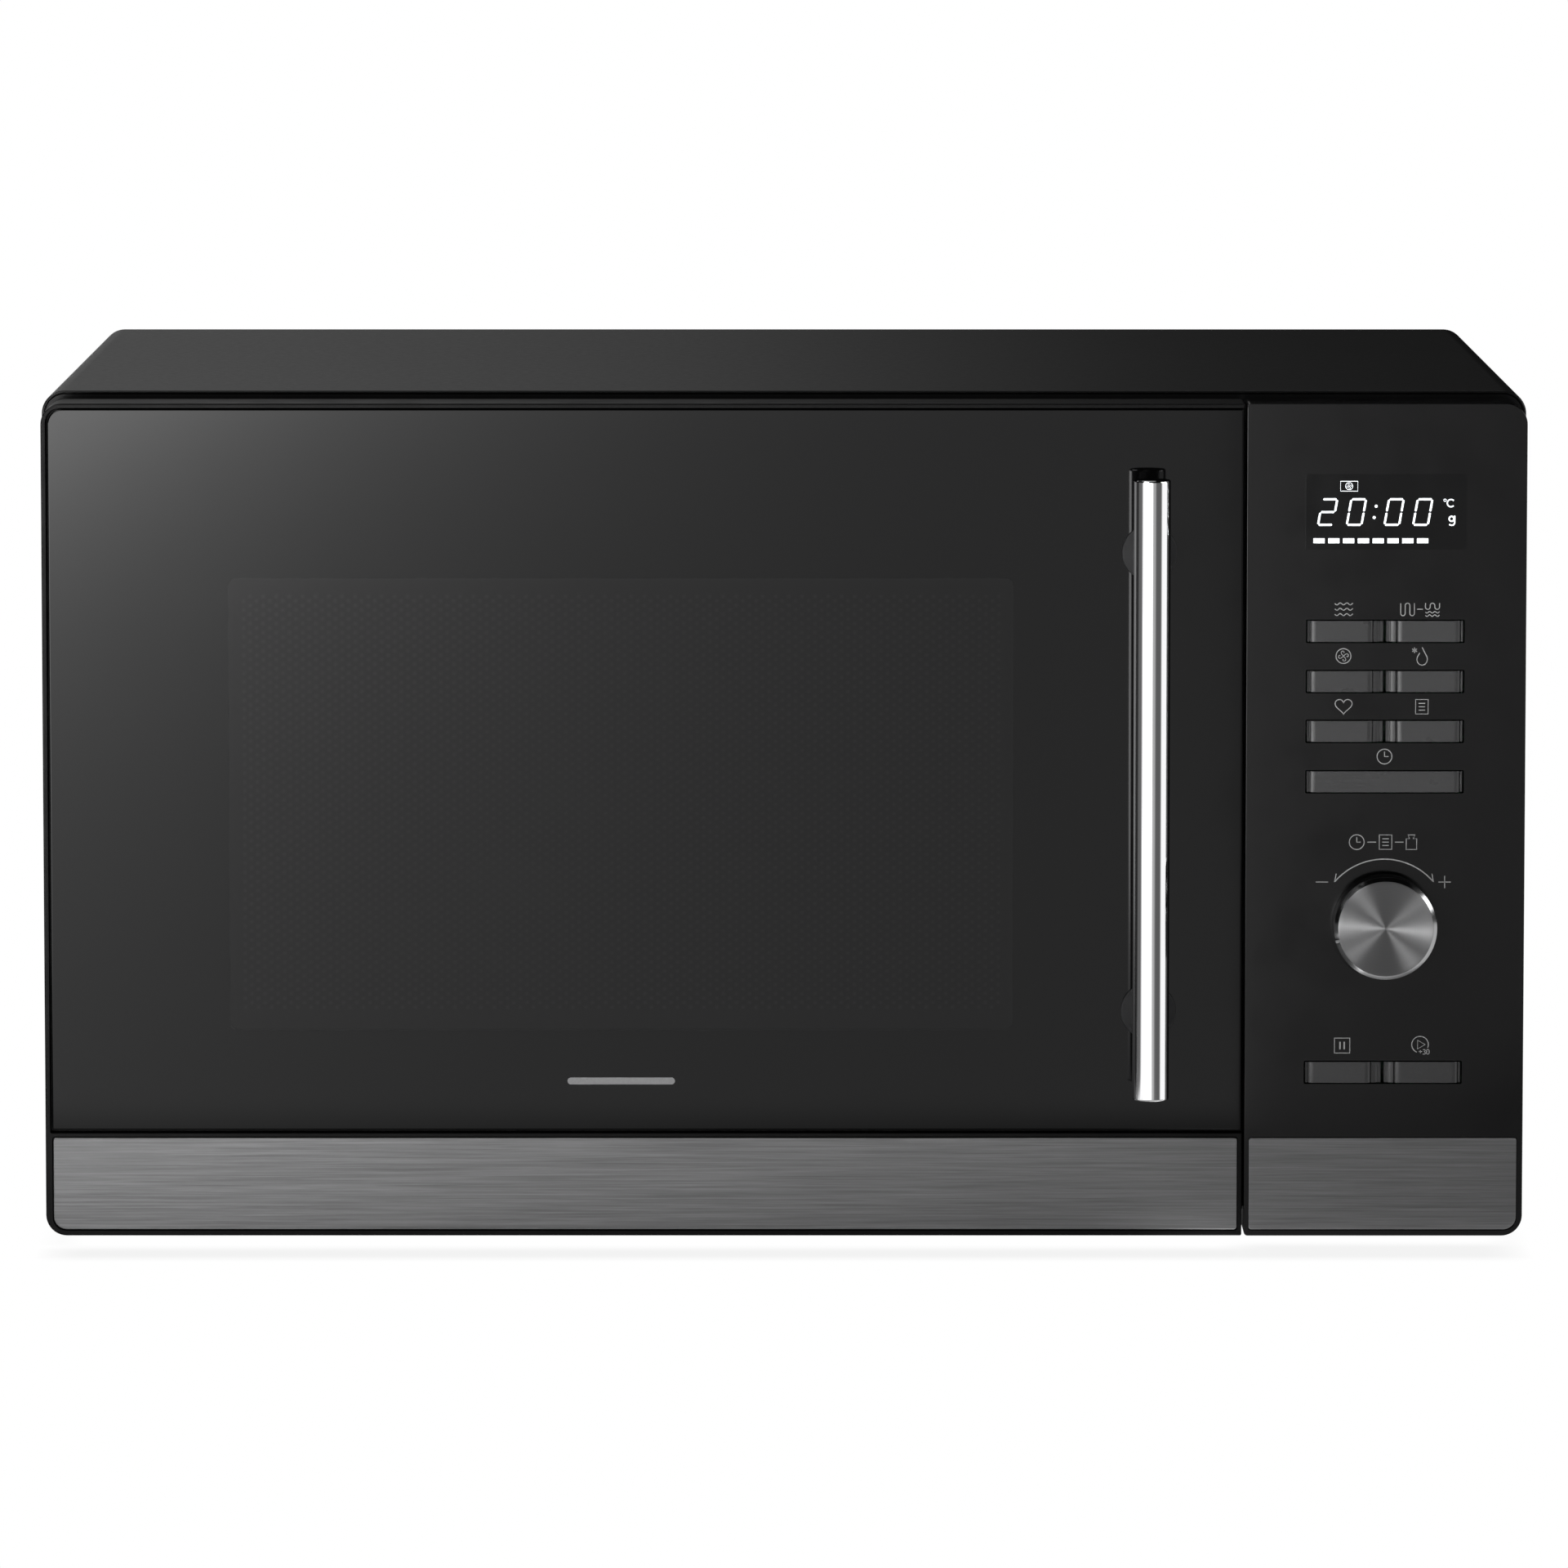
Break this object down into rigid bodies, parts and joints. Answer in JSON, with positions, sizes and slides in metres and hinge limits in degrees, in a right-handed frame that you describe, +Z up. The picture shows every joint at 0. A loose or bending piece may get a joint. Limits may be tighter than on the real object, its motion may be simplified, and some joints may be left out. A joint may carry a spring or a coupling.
{
  "type": "microwave oven",
  "caption": "Free-standing combination microwave oven with a side-hinged glass door, bar handle, turntable, rotary knob and key panel.",
  "frame": {"origin": "on the worktop, under the middle of the overall box", "axes": "+Z up, -Y towards the user through the door, +X to the right seen from the front"},
  "size_m": [0.513, 0.43, 0.298],
  "materials": {
    "casing_paint": "satin dark grey paint",
    "zinc_steel": "zinc-coated sheet",
    "cavity_enamel": "grey baked coating",
    "door_paint": "black baked coating",
    "bracket_steel": "plated steel",
    "foot_rubber": "matte black",
    "bright_steel": "bright plated",
    "can_aluminium": "drawn can",
    "motor_iron": "laminated iron and lacquered wire",
    "white_plastic": "heat-resistant moulding",
    "mica_sheet": "pressed mica",
    "heater_sheath": "oxidised sheath",
    "fan_steel": "stamped sheet",
    "clear_glass": "clear",
    "dark_glass": "tinted, printed behind, glossy",
    "dark_plastic": "fine satin moulding",
    "fascia_plastic": "satin gloss",
    "key_plastic": "satin",
    "knob_metal": "dark spun finish",
    "brushed_strip": "fine horizontal brushing",
    "handle_chrome": "polished",
    "board_laminate": "green board"
  },
  "bodies": {
    "housing": {"outer_cover": "casing_paint", "base_plate": "zinc_steel", "foot_front_left": "foot_rubber", "foot_front_right": "foot_rubber", "foot_rear_left": "foot_rubber", "foot_rear_right": "foot_rubber", "rear_panel": "zinc_steel", "rear_motor_cover": "casing_paint", "cord_gland": "foot_rubber", "front_frame": "casing_paint", "cavity": "cavity_enamel", "waveguide": "zinc_steel", "waveguide_cover": "mica_sheet", "magnetron": "bright_steel", "transformer": "motor_iron", "capacitor": "can_aluminium", "cavity_lamp": "white_plastic", "latch_body": "white_plastic", "fan_shroud": "white_plastic", "cooling_fan_motor": "motor_iron", "convection_housing": "zinc_steel", "convection_heater": "heater_sheath", "convection_motor": "motor_iron", "grill_heater": "heater_sheath", "turntable_motor": "bright_steel", "hinge_bracket_upper": "bracket_steel", "hinge_bracket_lower": "bracket_steel", "control_panel": "fascia_plastic", "display_window": "dark_glass", "panel_trim_strip": "brushed_strip", "control_board": "board_laminate", "rotary_encoder": "bright_steel"},
    "door": {"door_frame": "dark_plastic", "door_glass": "dark_glass", "door_trim_strip": "brushed_strip", "door_inner_plate": "door_paint", "door_choke_cover": "dark_plastic", "door_inner_glass": "clear_glass", "handle_bar": "handle_chrome", "handle_post_upper": "bracket_steel", "handle_post_lower": "bracket_steel"},
    "latch_key": {"latch_key": "white_plastic"},
    "knob": {"knob": "knob_metal"},
    "turntable_coupler": {"turntable_coupler": "white_plastic"},
    "glass_turntable": {"glass_turntable": "clear_glass"},
    "roller_ring": {"roller_ring": "white_plastic"},
    "roller_a": {"roller_a": "white_plastic"},
    "roller_b": {"roller_b": "white_plastic"},
    "roller_c": {"roller_c": "white_plastic"},
    "cooling_fan_impeller": {"cooling_fan_impeller": "white_plastic"},
    "convection_fan": {"convection_fan": "fan_steel"},
    "key_power_left": {"key_power_left": "key_plastic"},
    "key_power_right": {"key_power_right": "key_plastic"},
    "key_hot_air_left": {"key_hot_air_left": "key_plastic"},
    "key_hot_air_right": {"key_hot_air_right": "key_plastic"},
    "key_auto_left": {"key_auto_left": "key_plastic"},
    "key_auto_right": {"key_auto_right": "key_plastic"},
    "key_clock": {"key_clock": "key_plastic"},
    "key_stop": {"key_stop": "key_plastic"},
    "key_start": {"key_start": "key_plastic"}
  },
  "joints": [
    {"name": "door_hinge", "type": "hinge", "parent": "housing", "child": "door", "pos_m": [-0.2485, -0.1665, 0.15], "axis": [0, 0, -1], "range_deg": [0, 100]},
    {"name": "latch_key_slide", "type": "slide", "parent": "door", "child": "latch_key", "axis": [0, 0, 1], "range_m": [0, 0.004], "stiffness_N_per_m": 200, "springref_m": -0.002},
    {"name": "knob_turn", "type": "hinge", "parent": "housing", "child": "knob", "pos_m": [0.2065, -0.19, 0.116], "axis": [0, 1, 0], "continuous": true},
    {"name": "turntable_turn", "type": "hinge", "parent": "housing", "child": "turntable_coupler", "pos_m": [-0.056, 0, 0.054], "axis": [0, 0, 1], "continuous": true},
    {"name": "turntable_lift", "type": "slide", "parent": "turntable_coupler", "child": "glass_turntable", "axis": [0, 0, 1], "range_m": [0, 0.12]},
    {"name": "roller_ring_turn", "type": "hinge", "parent": "housing", "child": "roller_ring", "pos_m": [-0.056, 0, 0.0553], "axis": [0, 0, 1], "continuous": true},
    {"name": "roller_a_spin", "type": "hinge", "parent": "roller_ring", "child": "roller_a", "pos_m": [0.034, 0, 0.0553], "axis": [1, 0, 0], "continuous": true},
    {"name": "roller_b_spin", "type": "hinge", "parent": "roller_ring", "child": "roller_b", "pos_m": [-0.101, 0.07794, 0.0553], "axis": [-0.5, 0.866, 0], "continuous": true},
    {"name": "roller_c_spin", "type": "hinge", "parent": "roller_ring", "child": "roller_c", "pos_m": [-0.101, -0.07794, 0.0553], "axis": [-0.5, -0.866, 0], "continuous": true},
    {"name": "cooling_fan_spin", "type": "hinge", "parent": "housing", "child": "cooling_fan_impeller", "pos_m": [0.185, 0.1725, 0.172], "axis": [0, 1, 0], "continuous": true},
    {"name": "convection_fan_spin", "type": "hinge", "parent": "housing", "child": "convection_fan", "pos_m": [-0.056, 0.167, 0.158], "axis": [0, 1, 0], "continuous": true},
    {"name": "key_power_left_press", "type": "slide", "parent": "housing", "child": "key_power_left", "axis": [0, 1, 0], "range_m": [0, 0.0012], "stiffness_N_per_m": 400, "springref_m": -0.0006},
    {"name": "key_power_right_press", "type": "slide", "parent": "housing", "child": "key_power_right", "axis": [0, 1, 0], "range_m": [0, 0.0012], "stiffness_N_per_m": 400, "springref_m": -0.0006},
    {"name": "key_hot_air_left_press", "type": "slide", "parent": "housing", "child": "key_hot_air_left", "axis": [0, 1, 0], "range_m": [0, 0.0012], "stiffness_N_per_m": 400, "springref_m": -0.0006},
    {"name": "key_hot_air_right_press", "type": "slide", "parent": "housing", "child": "key_hot_air_right", "axis": [0, 1, 0], "range_m": [0, 0.0012], "stiffness_N_per_m": 400, "springref_m": -0.0006},
    {"name": "key_auto_left_press", "type": "slide", "parent": "housing", "child": "key_auto_left", "axis": [0, 1, 0], "range_m": [0, 0.0012], "stiffness_N_per_m": 400, "springref_m": -0.0006},
    {"name": "key_auto_right_press", "type": "slide", "parent": "housing", "child": "key_auto_right", "axis": [0, 1, 0], "range_m": [0, 0.0012], "stiffness_N_per_m": 400, "springref_m": -0.0006},
    {"name": "key_clock_press", "type": "slide", "parent": "housing", "child": "key_clock", "axis": [0, 1, 0], "range_m": [0, 0.0012], "stiffness_N_per_m": 400, "springref_m": -0.0006},
    {"name": "key_stop_press", "type": "slide", "parent": "housing", "child": "key_stop", "axis": [0, 1, 0], "range_m": [0, 0.0012], "stiffness_N_per_m": 400, "springref_m": -0.0006},
    {"name": "key_start_press", "type": "slide", "parent": "housing", "child": "key_start", "axis": [0, 1, 0], "range_m": [0, 0.0012], "stiffness_N_per_m": 400, "springref_m": -0.0006}
  ],
  "couplings": [
    {"joint": "roller_ring_turn", "follows": "turntable_turn", "ratio": 0.5},
    {"joint": "roller_a_spin", "follows": "turntable_turn", "ratio": -6.4286},
    {"joint": "roller_b_spin", "follows": "turntable_turn", "ratio": -6.4286},
    {"joint": "roller_c_spin", "follows": "turntable_turn", "ratio": -6.4286}
  ]
}
